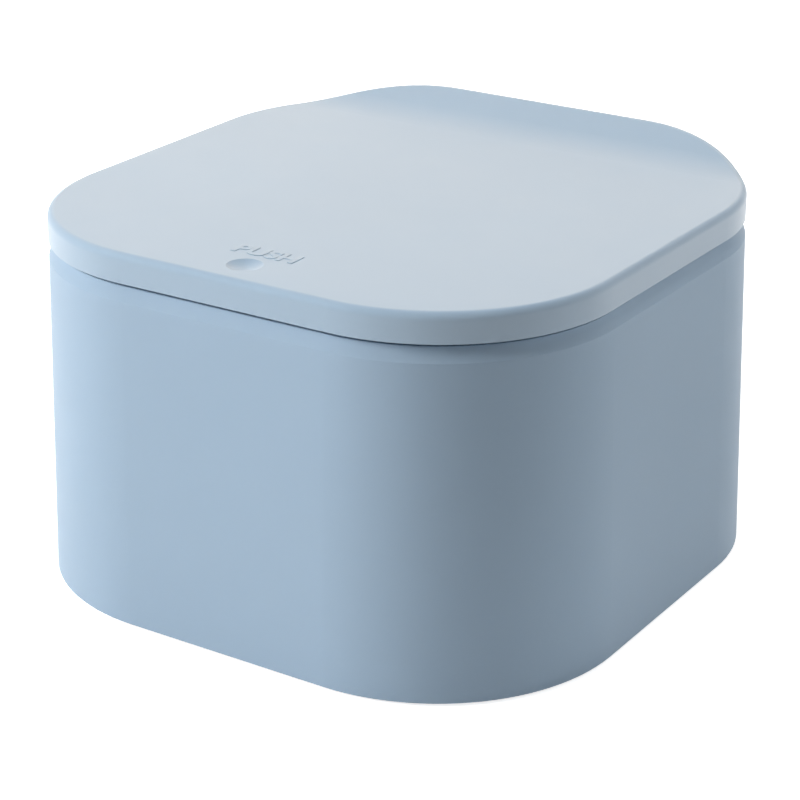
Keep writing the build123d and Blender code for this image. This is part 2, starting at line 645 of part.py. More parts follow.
# --- latch ---------------------------------------------------------------------------------
def striker():
    """T-shaped striker: a base screwed under the lid, a stem and a head with a blunt nose."""
    stem = STRIKER_STEM / 2
    head = STRIKER_HEAD / 2
    nose_z = head_z + STRIKER_HEAD_HEIGHT / 2
    half_outline = [(stem, striker_base_z), (stem, head_top_z), (head, head_top_z), (head, nose_z)]
    half_outline.append((stem, head_z))
    other_half = [(-x, z) for x, z in reversed(half_outline)]
    outline = make_face(Polyline(*half_outline, *other_half, half_outline[0]))
    hook = extrude(Plane.XZ.offset(-latch_y) * outline, STRIKER_DEPTH / 2, both=True)
    half_width = LATCH_WIDTH / 2 - LATCH_WALL - STRIKER_SIDE_GAP
    half_depth = STRIKER_BASE_DEPTH / 2
    top_z = striker_base_z + STRIKER_BASE_THICKNESS
    piece = hook + block(
        -half_width, half_width, latch_y - half_depth, latch_y + half_depth, striker_base_z, top_z
    )
    for side in (-1, 1):
        x = side * STRIKER_SCREW_SPREAD
        piece -= post(SMALL_SCREW_RADIUS + PLATE_BOLT_GAP, x, latch_y, striker_base_z, top_z)
    return piece


def striker_screws():
    length = lid_under_z - striker_base_z
    sizes = (SMALL_SCREW_RADIUS, length, SMALL_HEAD_RADIUS, SMALL_HEAD_HEIGHT)
    return [
        screw_up(side * STRIKER_SCREW_SPREAD, latch_y, striker_base_z, *sizes) for side in (-1, 1)
    ]


def latch_housing():
    """Open-topped box that guides the shuttle, hung in the frame by a flush flange."""
    half = LATCH_WIDTH / 2
    front = latch_y - LATCH_DEPTH / 2
    back = latch_y + LATCH_DEPTH / 2
    housing = block(-half, half, front, back, flange_z - LATCH_HEIGHT, flange_z)
    flange_half = LATCH_FLANGE_WIDTH / 2
    seat_z = flange_z - LATCH_FLANGE_THICKNESS
    head_z_low = flange_z - SMALL_HEAD_HEIGHT
    housing += block(-flange_half, flange_half, front, back, seat_z, flange_z)
    room_half = half - LATCH_WALL
    housing -= block(
        -room_half, room_half, front + LATCH_WALL, back - LATCH_WALL, latch_floor_z, flange_z
    )
    housing += post(SPIGOT_RADIUS, 0, latch_y, latch_floor_z, latch_floor_z + SPIGOT_HEIGHT)
    for side in (-1, 1):
        x = side * latch_screw_x()
        housing -= post(SMALL_SCREW_RADIUS + PLATE_BOLT_GAP, x, latch_y, seat_z, flange_z)
        housing -= post(SMALL_HEAD_RADIUS + REST_GAP, x, latch_y, head_z_low, flange_z)
    return housing


def latch_screws():
    """Two screws driven down, their heads flush in the housing's flange."""
    screws = []
    tip_z = flange_z - SMALL_SCREW_LENGTH
    for side in (-1, 1):
        x = side * latch_screw_x()
        head = post(SMALL_HEAD_RADIUS, x, latch_y, flange_z - SMALL_HEAD_HEIGHT, flange_z)
        screws.append(head + post(SMALL_SCREW_RADIUS, x, latch_y, tip_z, flange_z))
    return screws


def latch_shuttle():
    """Carriage that slides in the housing, with two cheeks that hold the jaws' pins."""
    half = LATCH_WIDTH / 2 - LATCH_WALL - SLIDE_GAP
    depth = LATCH_DEPTH / 2 - LATCH_WALL - SLIDE_GAP
    base_top_z = shuttle_z + SHUTTLE_BASE
    cheek_half = JAW_SPREAD + JAW_BOSS_RADIUS
    cheek_top_z = flange_z - SHUTTLE_TRAVEL - SHUTTLE_TOP_MARGIN
    inner = depth - SHUTTLE_CHEEK
    outside_y = (latch_y - depth, latch_y + depth)
    inside_y = (latch_y - inner, latch_y + inner)
    shuttle = block(-half, half, *outside_y, shuttle_z, base_top_z)
    shuttle += block(-cheek_half, cheek_half, *outside_y, base_top_z, cheek_top_z)
    shuttle -= block(-cheek_half, cheek_half, *inside_y, base_top_z, cheek_top_z)
    shuttle += block(-inner, inner, *inside_y, base_top_z, anvil_z)
    shuttle += post(SPIGOT_RADIUS, 0, latch_y, shuttle_z - SPIGOT_HEIGHT, shuttle_z)
    for side in (-1, 1):
        x = side * JAW_SPREAD
        shuttle -= bar_y(JAW_PIN_RADIUS + PIN_SEAT_GAP, x, *outside_y, jaw_pivot_z)
    return shuttle


def latch_jaw(side):
    """Hooked jaw on a pin in the shuttle; it closes over the shoulder of the striker."""
    tip = STRIKER_STEM / 2 + STRIKER_GAP
    outer = JAW_SPREAD + JAW_BOSS_RADIUS
    hook_z = jaw_top_z - JAW_HOOK_THICKNESS
    lead_z = jaw_top_z - JAW_HOOK_LEAD
    outline = Polyline(
        (tip, hook_z),
        (tip, lead_z),
        (tip + JAW_HOOK_LEAD, jaw_top_z),
        (outer, jaw_top_z),
        (outer, jaw_pivot_z),
        (JAW_SPREAD, jaw_pivot_z),
        (JAW_SPREAD, hook_z),
        (tip, hook_z),
    )
    half = LATCH_DEPTH / 2 - LATCH_WALL - SLIDE_GAP - SHUTTLE_CHEEK - JAW_SIDE_GAP
    width = (latch_y - half, latch_y + half)
    jaw = extrude(Plane.XZ.offset(-latch_y) * make_face(outline), half, both=True)
    jaw += bar_y(JAW_BOSS_RADIUS, JAW_SPREAD, *width, jaw_pivot_z)
    jaw -= bar_y(JAW_PIN_RADIUS + PIN_RUNNING_GAP, JAW_SPREAD, *width, jaw_pivot_z)
    return jaw if side > 0 else mirror(jaw, about=Plane.YZ)


def jaw_pins():
    depth = LATCH_DEPTH / 2 - LATCH_WALL - SLIDE_GAP
    return [
        bar_y(JAW_PIN_RADIUS, side * JAW_SPREAD, latch_y - depth, latch_y + depth, jaw_pivot_z)
        for side in (-1, 1)
    ]


def latch_spring():
    """Compression spring between the housing's floor and the shuttle."""
    free_height = SPRING_SPACE - 2 * (LATCH_SPRING_WIRE + REST_GAP)
    path = Helix(free_height / LATCH_SPRING_TURNS, free_height, LATCH_SPRING_RADIUS)
    wire = RegularPolygon(LATCH_SPRING_WIRE, WIRE_SIDES)
    section = Plane(origin=path @ 0, z_dir=path % 0) * wire
    coil = sweep(section, path=path, is_frenet=True)
    return Pos(0, latch_y, latch_floor_z + LATCH_SPRING_WIRE + REST_GAP) * coil


# --- all nodes -----------------------------------------------------------------------------
nodes = {
    "outer_shell": outer_shell(),
    "base_plate": base_plate(),
    "rubber_feet": rubber_feet(),
    "base_screws": base_screws(),
    "inner_bucket": inner_bucket(),
    "top_frame": top_frame(),
    "hinge_pins": hinge_pins(),
    "opening_spring_left": opening_spring(-1),
    "opening_spring_right": opening_spring(1),
    "lid_cover": lid_cover(),
    "lid_liner": lid_liner(),
    "lid_seal": lid_seal(),
    "lid_screws": lid_screws(),
    "striker": striker(),
    "striker_screws": striker_screws(),
    "latch_housing": latch_housing(),
    "latch_screws": latch_screws(),
    "latch_shuttle": latch_shuttle(),
    "latch_jaw_left": latch_jaw(-1),
    "latch_jaw_right": latch_jaw(1),
    "jaw_pins": jaw_pins(),
    "latch_spring": latch_spring(),
}

os.makedirs("parts", exist_ok=True)
for name, shape in nodes.items():
    solids = Compound(children=shape) if isinstance(shape, list) else shape
    export_step(solids, f"parts/{name}.step")
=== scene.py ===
# %% [markdown]
# # A push top countertop bin, dressed around its engineering model
#
# The frame is the finished engineering model: every solid is already at its true size and
# place, in metres. This lesson adds what such a model lacks, which is the camera, the light,
# the moulded plastics, the screws and the word on the lid. Loading comes first, because all
# later sizes are read from the loaded model instead of being typed again.

# %% Load the frame
import json
import math

import bpy
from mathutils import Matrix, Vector


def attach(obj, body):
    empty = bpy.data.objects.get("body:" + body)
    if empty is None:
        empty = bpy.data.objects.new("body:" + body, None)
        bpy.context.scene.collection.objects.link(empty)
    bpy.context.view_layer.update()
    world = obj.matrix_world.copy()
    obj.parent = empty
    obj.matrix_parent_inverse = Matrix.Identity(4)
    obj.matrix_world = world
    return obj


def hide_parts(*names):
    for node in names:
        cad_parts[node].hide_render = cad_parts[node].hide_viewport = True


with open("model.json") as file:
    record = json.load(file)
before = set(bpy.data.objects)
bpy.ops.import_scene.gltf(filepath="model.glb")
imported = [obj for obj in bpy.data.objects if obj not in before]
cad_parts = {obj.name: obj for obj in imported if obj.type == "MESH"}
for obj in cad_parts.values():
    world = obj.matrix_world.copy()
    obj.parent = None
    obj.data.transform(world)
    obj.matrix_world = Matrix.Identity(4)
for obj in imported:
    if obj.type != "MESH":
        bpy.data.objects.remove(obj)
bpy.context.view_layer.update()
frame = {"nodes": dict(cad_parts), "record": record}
nodes = frame["nodes"]
MM = 0.001

# %% [markdown]
# ## The camera
#
# A camera can be placed by typing a location and a rotation, but then the two have to be
# changed together. Here it circles a target instead: a turn around the object, a height above
# the horizon and a distance. A long lens keeps the walls of a small object nearly parallel,
# as in a catalogue picture.

# %% Place the camera
CAMERA_TURN = math.radians(33.022)
CAMERA_RISE = math.radians(22.572)
CAMERA_DISTANCE = 0.72494
CAMERA_TARGET = Vector((-0.58 * MM, 0.0, 45.56 * MM))
LENS_MM = 109.73
SENSOR_MM = 36.0
NEAREST_SEEN = 10.0 * MM

level = math.cos(CAMERA_RISE)
back = Vector((
    math.sin(CAMERA_TURN) * level,
    -math.cos(CAMERA_TURN) * level,
    math.sin(CAMERA_RISE),
))
camera_data = bpy.data.cameras.new("camera")
camera_data.lens = LENS_MM
camera_data.sensor_width = SENSOR_MM
camera_data.clip_start = NEAREST_SEEN
camera = bpy.data.objects.new("camera", camera_data)
camera.location = CAMERA_TARGET + back * CAMERA_DISTANCE
camera.rotation_euler = (-back).to_track_quat("-Z", "Y").to_euler()
bpy.context.scene.collection.objects.link(camera)
bpy.context.scene.camera = camera
bpy.context.scene.view_settings.view_transform = "Standard"
print("camera at", [round(value, 4) for value in camera.location])

# %% [markdown]
# ## A small helper for node trees
#
# Building materials in code means adding nodes and wiring them. Two tiny helpers keep each
# material short: one adds a node and fills its inputs, the other turns a colour as it is seen
# on screen into the linear light that materials work in.


# %% Helpers for wiring nodes
def add_node(tree, kind, **inputs):
    """Adds a node and fills the inputs that are named, with spaces written as underscores."""
    node = tree.nodes.new(kind)
    for name, value in inputs.items():
        node.inputs[name.replace("_", " ")].default_value = value
    return node


def srgb(red, green, blue):
    """The linear colour that shows on screen as these 0 to 255 values, by the sRGB curve."""
    linear = []
    for value in (red, green, blue):
        share = value / 255
        linear.append(share / 12.92 if share <= 0.04045 else ((share + 0.055) / 1.055) ** 2.4)
    return (*linear, 1.0)


print("mid grey is", round(srgb(128, 128, 128)[0], 3), "in linear light")

# %% [markdown]
# ## What looks at the studio
#
# The renderer says which kind of ray is asking. The camera, reflections and see-through
# pieces look at the studio and find it white, while light that falls on the object finds it
# nearly dark, so the white is no lamp.


# %% Tell the kinds of ray apart
WHITE = (1.0, 1.0, 1.0, 1.0)
LOOKING = ("Camera", "Glossy", "Transmission")


def seen_by(tree, *rays):
    """A value that is 1 for the named kinds of ray, such as Camera or Glossy."""
    path = add_node(tree, "ShaderNodeLightPath")
    seen = path.outputs["Is " + rays[0] + " Ray"]
    for ray in rays[1:]:
        either = add_node(tree, "ShaderNodeMath")
        either.operation = "MAXIMUM"
        tree.links.new(seen, either.inputs[0])
        tree.links.new(path.outputs["Is " + ray + " Ray"], either.inputs[1])
        seen = either.outputs[0]
    return seen


print("rays that see the white studio:", *LOOKING)

# %% [markdown]
# ### The floor
#
# A white floor could be made by lighting it until it burns out, but the object would burn out
# too. Instead the floor keeps its normal shading, so that it still takes a shadow, and gives a
# little extra light of its own to what looks at it. That light grows to white further out,
# so the edge of the floor never shows as a line.

# %% Floor
FLOOR_SIZE = 6.0             # metres
FLOOR_PAINT = srgb(226, 226, 226)
FLOOR_LIFT = 0.8             # light that the floor gives by itself, where 1 is white
LIFT_NEAR = 0.25             # metres from the object: the floor is at its plain lift
LIFT_FAR = 1.0               # and here it has reached white, so its edge never shows


def studio_floor():
    half = FLOOR_SIZE / 2
    corners = [(-half, -half, 0), (half, -half, 0), (half, half, 0), (-half, half, 0)]
    mesh = bpy.data.meshes.new("floor")
    mesh.from_pydata(corners, [], [(0, 1, 2, 3)])
    floor = bpy.data.objects.new("floor", mesh)
    bpy.context.scene.collection.objects.link(floor)
    material = bpy.data.materials.new("studio floor")
    material.use_nodes = True
    tree = material.node_tree
    tree.nodes.clear()
    shade = add_node(tree, "ShaderNodeBsdfDiffuse", Color=FLOOR_PAINT)
    glow = add_node(tree, "ShaderNodeEmission", Color=WHITE)
    place = add_node(tree, "ShaderNodeTexCoord").outputs["Object"]
    distance = add_node(tree, "ShaderNodeVectorMath")
    distance.operation = "LENGTH"
    tree.links.new(place, distance.inputs[0])
    lift = add_node(tree, "ShaderNodeMapRange", From_Min=LIFT_NEAR, From_Max=LIFT_FAR)
    lift.inputs["To Min"].default_value = FLOOR_LIFT
    lift.inputs["To Max"].default_value = 1.0
    tree.links.new(distance.outputs["Value"], lift.inputs["Value"])
    scaled = add_node(tree, "ShaderNodeMath")
    scaled.operation = "MULTIPLY"
    tree.links.new(seen_by(tree, *LOOKING), scaled.inputs[0])
    tree.links.new(lift.outputs["Result"], scaled.inputs[1])
    tree.links.new(scaled.outputs[0], glow.inputs["Strength"])
    both = add_node(tree, "ShaderNodeAddShader")
    tree.links.new(shade.outputs[0], both.inputs[0])
    tree.links.new(glow.outputs[0], both.inputs[1])
    out = add_node(tree, "ShaderNodeOutputMaterial")
    tree.links.new(both.outputs[0], out.inputs["Surface"])
    mesh.materials.append(material)
    return floor


floor = studio_floor()
print("floor ready,", floor.dimensions.x, "metres wide")

# %% [markdown]
# ### The world
#
# The walls of the studio are white and the ceiling darkens overhead, the same for every ray
# that looks. The dark ceiling is what gives a rounded edge its darker line. As a light source
# the world is almost nothing, and leaves the work to the lamps.

# %% World
WORLD_STRENGTH = 0.01        # what the world itself gives as a light source
CEILING_FROM = 0.7           # height share of a direction where the ceiling starts to darken
CEILING_FULL = 0.93          # and where it has reached its full shade
CEILING_SHADE = 0.15         # its brightness there, where the walls are 1


def card_strength(tree):
    """White all round and a dark ceiling, by the direction that is looked in."""
    direction = add_node(tree, "ShaderNodeTexCoord").outputs["Generated"]
    parts = add_node(tree, "ShaderNodeSeparateXYZ")
    tree.links.new(direction, parts.inputs["Vector"])
    ceiling = add_node(tree, "ShaderNodeMapRange", From_Min=CEILING_FROM, From_Max=CEILING_FULL)
    ceiling.inputs["To Min"].default_value = 1.0
    ceiling.inputs["To Max"].default_value = CEILING_SHADE
    tree.links.new(parts.outputs["Z"], ceiling.inputs["Value"])
    return ceiling.outputs["Result"]


def studio_world():
    world = bpy.data.worlds.new("studio")
    world.use_nodes = True
    tree = world.node_tree
    tree.nodes.clear()
    lamp = add_node(tree, "ShaderNodeBackground", Color=WHITE, Strength=WORLD_STRENGTH)
    card = add_node(tree, "ShaderNodeBackground", Color=WHITE)
    tree.links.new(card_strength(tree), card.inputs["Strength"])
    choose = add_node(tree, "ShaderNodeMixShader")
    out = add_node(tree, "ShaderNodeOutputWorld")
    tree.links.new(seen_by(tree, *LOOKING), choose.inputs[0])
    tree.links.new(lamp.outputs[0], choose.inputs[1])
    tree.links.new(card.outputs[0], choose.inputs[2])
    tree.links.new(choose.outputs[0], out.inputs["Surface"])
    bpy.context.scene.world = world
    return world


world = studio_world()
print("world ready:", len(world.node_tree.nodes), "nodes")

# %% [markdown]
# ## The lamps
#
# A wide lamp on the left is the key, so the front is brighter than the right side, and the
# corner that faces the camera is the darkest. One overhead lifts the lid and one at the right
# fills the side. These three are kept out of reflections, as a polarising filter would do, so
# that satin plastic shows no hot spots. The warm one behind is mirrored in the flat top and
# greys it, while the raised back edge tilts away from it and stays blue. Wide lamps give soft
# shadows, where a point lamp would give hard ones.


# %% Soft lamps
PLAIN_LIGHT = WHITE[:3]
AMBER_LIGHT = (1.0, 0.74, 0.47)


def soft_lamp(name, place, width, power, colour=PLAIN_LIGHT):
    """A round lamp, width in metres and power in watts, turned to what the camera looks at."""
    data = bpy.data.lights.new(name, "AREA")
    data.color = colour
    data.shape = "DISK"
    data.size = width
    data.energy = power
    lamp = bpy.data.objects.new(name, data)
    lamp.location = Vector(place)
    aim = CAMERA_TARGET - lamp.location
    lamp.rotation_euler = aim.to_track_quat("-Z", "Y").to_euler()
    bpy.context.scene.collection.objects.link(lamp)
    return lamp


key = soft_lamp("key", place=(-0.81, -0.89, 0.82), width=0.8, power=19.2)
top = soft_lamp("top", place=(0.0, 0.1, 1.5), width=0.9, power=8.6)
side = soft_lamp("side", place=(1.08, 0.74, 0.5), width=0.7, power=6.1)
soft_lamp("back", place=(-0.75, 1.15, 0.62), width=1.3, power=2.4, colour=AMBER_LIGHT)
for lamp in (key, top, side):
    lamp.visible_glossy = False

# %% [markdown]
# ## Moulded plastic
#
# A moulded part isn't one flat colour. Its tint drifts slightly where the plastic flowed, its
# skin has the fine spark-eroded grain of the mould, and handling leaves some places a little
# shinier. Each of the three is a noise at its own scale: slow for tint, middling for shine and
# very fine for the bump. They read object coordinates, so the pattern stays with the piece.
# Light also goes a little way into such plastic and comes out beside where it went in, which
# the subsurface share gives, so corners look soft. The grainy body mirrors less than the lid,
# whose smoother skin has a thin coat of shine.


# %% A plastic with tint, shine and grain
PLASTIC_IOR = 1.49
UNDER_SKIN_SHARE = 0.3       # share of the light that wanders inside the plastic
UNDER_SKIN_REACH = 1.0 * MM
COAT_ROUGHNESS = 0.3
TINT_WAVES = 14.0            # noise scales count waves in a metre
TINT_EDGES = (0.35, 0.65)    # stretch of the noise over which the tint changes
TINT_DARKEST = 0.975
SHINE_WAVES = 55.0
SHINE_CHANGE = (-0.04, 0.05)  # added to the roughness where worn least and most
GRAIN_STRENGTH = 0.35


def object_noise(tree, place, waves, detail):
    noise = add_node(tree, "ShaderNodeTexNoise", Scale=waves, Detail=detail)
    tree.links.new(place, noise.inputs["Vector"])
    return noise.outputs["Fac"]


def vary_roughness(tree, skin, noise, lowest, highest):
    shine = add_node(tree, "ShaderNodeMapRange", To_Min=lowest, To_Max=highest)
    tree.links.new(noise, shine.inputs["Value"])
    tree.links.new(shine.outputs["Result"], skin.inputs["Roughness"])


def add_bump(tree, skin, noise, strength, depth):
    bump = add_node(tree, "ShaderNodeBump", Strength=strength, Distance=depth)
    tree.links.new(noise, bump.inputs["Height"])
    tree.links.new(bump.outputs["Normal"], skin.inputs["Normal"])


def vary_tint(tree, skin, noise, colour):
    tint = add_node(tree, "ShaderNodeValToRGB")
    darkest, plain = tint.color_ramp.elements
    darkest.position, plain.position = TINT_EDGES
    darkest.color = tuple(value * TINT_DARKEST for value in colour[:3]) + (1.0,)
    plain.color = colour
    tree.links.new(noise, tint.inputs["Fac"])
    tree.links.new(tint.outputs["Color"], skin.inputs["Base Color"])


def new_material(name):
    material = bpy.data.materials.new(name)
    material.use_nodes = True
    tree = material.node_tree
    place = add_node(tree, "ShaderNodeTexCoord").outputs["Object"]
    return material, tree, tree.nodes["Principled BSDF"], place


def moulded_plastic(name, colour, roughness, grain_mm, grain_depth_mm, coat=0.0, mirror=0.5):
    """Satin plastic; mirror is how much its skin reflects, where 0.5 is the plain amount."""
    material, tree, skin, place = new_material(name)
    skin.inputs["IOR"].default_value = PLASTIC_IOR
    skin.inputs["Specular IOR Level"].default_value = mirror
    skin.inputs["Subsurface Weight"].default_value = UNDER_SKIN_SHARE
    skin.inputs["Subsurface Radius"].default_value = (1.0, 1.0, 1.0)
    skin.inputs["Subsurface Scale"].default_value = UNDER_SKIN_REACH
    skin.inputs["Coat Weight"].default_value = coat
    skin.inputs["Coat Roughness"].default_value = COAT_ROUGHNESS
    flow = object_noise(tree, place, TINT_WAVES, detail=2.0)
    vary_tint(tree, skin, flow, colour)
    wear = object_noise(tree, place, SHINE_WAVES, detail=4.0)
    least, most = SHINE_CHANGE
    vary_roughness(tree, skin, wear, roughness + least, roughness + most)
    grain = object_noise(tree, place, 1.0 / (grain_mm * MM), detail=2.0)
    add_bump(tree, skin, grain, GRAIN_STRENGTH, grain_depth_mm * MM)
    return material


print("plastic builder ready")

# %% [markdown]
# ## Drawn steel
#
# Wire and screws are drawn or rolled, which leaves fine lines along them. A noise that is
# squeezed across the piece gives such lines, and they change both the shine and the surface.


# %% A plated metal with fine lines
LINE_SQUEEZE = (1.0, 9.0, 9.0)
LINE_WAVES = 900.0
LINE_SHINE_CHANGE = (-0.06, 0.1)
LINE_STRENGTH = 0.2
LINE_DEPTH = 0.01 * MM


def drawn_steel(name, colour, roughness):
    material, tree, skin, place = new_material(name)
    skin.inputs["Metallic"].default_value = 1.0
    skin.inputs["Base Color"].default_value = colour
    squeeze = add_node(tree, "ShaderNodeMapping", Scale=LINE_SQUEEZE)
    tree.links.new(place, squeeze.inputs["Vector"])
    lines = object_noise(tree, squeeze.outputs["Vector"], LINE_WAVES, detail=3.0)
    least, most = LINE_SHINE_CHANGE
    vary_roughness(tree, skin, lines, roughness + least, roughness + most)
    add_bump(tree, skin, lines, LINE_STRENGTH, LINE_DEPTH)
    return material


print("steel builder ready")

# %% [markdown]
# ## One finish for each slot
#
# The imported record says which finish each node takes. One material per slot keeps the two in
# step: a node is looked up in the record and given the material of its slot, so that no list
# of nodes is typed twice.

# %% Make the finishes and dress the nodes
finishes = {
    "body_plastic": moulded_plastic(
        "powder blue body", srgb(167, 189, 209),
        roughness=0.48, grain_mm=0.45, grain_depth_mm=0.012, mirror=0.2),
    "lid_plastic": moulded_plastic(
        "powder blue lid", srgb(162, 184, 203),
        roughness=0.38, grain_mm=0.45, grain_depth_mm=0.008, coat=0.4),
    "inner_plastic": moulded_plastic(
        "off white inner", srgb(222, 226, 229),
        roughness=0.5, grain_mm=0.6, grain_depth_mm=0.015),
    "frame_plastic": moulded_plastic(
        "blue frame", srgb(160, 181, 199),
        roughness=0.45, grain_mm=0.5, grain_depth_mm=0.015),
    "mechanism_plastic": moulded_plastic(
        "natural acetal", srgb(230, 229, 222),
        roughness=0.38, grain_mm=0.5, grain_depth_mm=0.01),
    "soft_grey": moulded_plastic(
        "soft grey rubber", srgb(140, 145, 152),
        roughness=0.75, grain_mm=0.35, grain_depth_mm=0.03),
    "steel": drawn_steel("plated steel", srgb(200, 200, 203), roughness=0.28),
}


def dress(node_name, slot_name):
    piece = nodes[node_name]
    for material_slot in piece.material_slots:
        material_slot.material = finishes[slot_name]


for entry in frame["record"]["subparts"]:
    dress(entry["node"], entry["material_slot"])

# %% [markdown]
# ## The screws
#
# The engineering model has plain pins with flat heads. A real one has a pan head with a cross
# recess and a thread. All four sets of screws are the same thing at different sizes, which is
# what Geometry Nodes are good at: one tree makes a screw from named sizes and stands a copy on
# every point. The points are the middles of the screws in the loaded model.


# %% Find where the screws of a node stand
SAME_PLACE_DIGITS = 6        # corners that agree to a thousandth of a millimetre are one


def loose_boxes(piece):
    """Lowest and highest corner of each separate solid in a mesh."""
    mesh = piece.data
    owner = list(range(len(mesh.vertices)))
    at_place = {}
    for vertex in mesh.vertices:
        key = tuple(round(value, SAME_PLACE_DIGITS) for value in vertex.co)
        owner[vertex.index] = at_place.setdefault(key, vertex.index)

    def root(index):
        while owner[index] != index:
            owner[index] = owner[owner[index]]
            index = owner[index]
        return index

    for edge in mesh.edges:
        first, second = (root(index) for index in edge.vertices)
        owner[first] = second
    groups = {}
    for vertex in mesh.vertices:
        groups.setdefault(root(vertex.index), []).append(vertex.co)
    boxes = []
    for places in groups.values():
        low = [min(place[axis] for place in places) for axis in range(3)]
        high = [max(place[axis] for place in places) for axis in range(3)]
        boxes.append((low, high))
    return sorted(boxes)


print("base screws found:", len(loose_boxes(nodes["base_screws"])))

# %% [markdown]
# ### Small steps for the screw tree
#
# The same four steps come up in every part of the screw: a size taken as a share of another,
# a length stood along Z, a shape moved along Z, and a round body with two radii.


# %% Steps that the screw is made from
ROUND_SIDES = 28             # flats round the head and the shank


def scaled(tree, socket, factor):
    node = add_node(tree, "ShaderNodeMath")
    node.operation = "MULTIPLY"
    tree.links.new(socket, node.inputs[0])
    node.inputs[1].default_value = factor
    return node.outputs[0]


def along_z(tree, z_socket):
    node = add_node(tree, "ShaderNodeCombineXYZ")
    tree.links.new(z_socket, node.inputs["Z"])
    return node.outputs[0]


def moved(tree, geometry, z_socket):
    node = add_node(tree, "GeometryNodeTransform")
    tree.links.new(geometry, node.inputs["Geometry"])
    tree.links.new(along_z(tree, z_socket), node.inputs["Translation"])
    return node.outputs["Geometry"]


def tapered(tree, base_radius, tip_radius, height):
    node = add_node(tree, "GeometryNodeMeshCone", Vertices=ROUND_SIDES)
    tree.links.new(base_radius, node.inputs["Radius Bottom"])
    tree.links.new(tip_radius, node.inputs["Radius Top"])
    tree.links.new(height, node.inputs["Depth"])
    return node.outputs["Mesh"]


print("four steps ready")

# %% [markdown]
# ### The head
#
# A pan head is a short barrel with a crown that narrows to its face. Two bars that cross are
# cut out of it for the driver, a little longer than the head's radius and about a quarter of
# it wide.


# %% Build the head
FACE_SHARE = 0.8             # radius of the face, of the head's radius
CROWN_SHARE = 0.45           # height of the crown, of the head's height
BARREL_SHARE = 0.55
BAR_LENGTH_SHARE = 1.15      # length and width of a bar, of the head's radius
BAR_WIDTH_SHARE = 0.26


def screw_head(tree, given):
    radius, height = given["Head Radius"], given["Head Height"]
    face_radius = scaled(tree, radius, FACE_SHARE)
    crown = scaled(tree, height, CROWN_SHARE)
    barrel = scaled(tree, height, BARREL_SHARE)
    face_z = scaled(tree, height, -1.0)
    lower = moved(tree, tapered(tree, face_radius, radius, crown), face_z)
    upper = moved(tree, tapered(tree, radius, radius, barrel), scaled(tree, barrel, -1.0))

    bars = []
    for long_axis in (0, 1):
        size = add_node(tree, "ShaderNodeCombineXYZ")
        tree.links.new(scaled(tree, radius, BAR_LENGTH_SHARE), size.inputs[long_axis])
        tree.links.new(scaled(tree, radius, BAR_WIDTH_SHARE), size.inputs[1 - long_axis])
        tree.links.new(height, size.inputs[2])
        bar = add_node(tree, "GeometryNodeMeshCube")
        tree.links.new(size.outputs[0], bar.inputs["Size"])
        bars.append(moved(tree, bar.outputs["Mesh"], face_z))

    whole_head = add_node(tree, "GeometryNodeMeshBoolean")
    whole_head.operation = "UNION"
    for part in (lower, upper):
        tree.links.new(part, whole_head.inputs["Mesh 2"])
    cut_head = add_node(tree, "GeometryNodeMeshBoolean")
    cut_head.operation = "DIFFERENCE"
    tree.links.new(whole_head.outputs["Mesh"], cut_head.inputs["Mesh 1"])
    for bar in bars:
        tree.links.new(bar, cut_head.inputs["Mesh 2"])
    return cut_head.outputs["Mesh"]


print("head builder ready")

# %% [markdown]
# ### The shank and its thread
#
# The thread is a spiral line given a four-sided profile, wound round a core that is a little
# thinner than the screw, so that the ridge ends just within the screw's full radius.


# %% Build the shank
CORE_SHARE = 0.84            # radius of the core, of the screw's radius
RIDGE_SHARE = 0.15           # radius of the ridge's profile, of the screw's radius
RIDGE_SIDES = 4
THREAD_START_SHARE = 0.05    # where the thread starts, of the screw's length
THREAD_RUN_SHARE = 0.9       # and how far it runs
STEPS_IN_A_TURN = 20


def screw_shank(tree, given):
    """The thread and the core, in that order."""
    core_radius = scaled(tree, given["Shank Radius"], CORE_SHARE)
    core = tapered(tree, core_radius, core_radius, given["Length"])
    spiral = add_node(tree, "GeometryNodeCurveSpiral", Resolution=STEPS_IN_A_TURN)
    tree.links.new(given["Turns"], spiral.inputs["Rotations"])
    tree.links.new(core_radius, spiral.inputs["Start Radius"])
    tree.links.new(core_radius, spiral.inputs["End Radius"])
    run = scaled(tree, given["Length"], THREAD_RUN_SHARE)
    tree.links.new(run, spiral.inputs["Height"])
    ridge = add_node(tree, "GeometryNodeCurvePrimitiveCircle", Resolution=RIDGE_SIDES)
    tree.links.new(scaled(tree, given["Shank Radius"], RIDGE_SHARE), ridge.inputs["Radius"])
    thread = add_node(tree, "GeometryNodeCurveToMesh", Fill_Caps=True)
    tree.links.new(spiral.outputs["Curve"], thread.inputs["Curve"])
    tree.links.new(ridge.outputs["Curve"], thread.inputs["Profile Curve"])
    start = scaled(tree, given["Length"], THREAD_START_SHARE)
    return moved(tree, thread.outputs["Mesh"], start), core


print("shank builder ready")

# %% [markdown]
# ### The whole screw on every point
#
# The tree takes its sizes as inputs, so that one tree serves all four sets. The finished
# screw is stood on every point, made real and given its material.


# %% Build the screw tree
SIZE_INPUTS = ("Head Radius", "Head Height", "Shank Radius", "Length", "Turns", "Tilt")


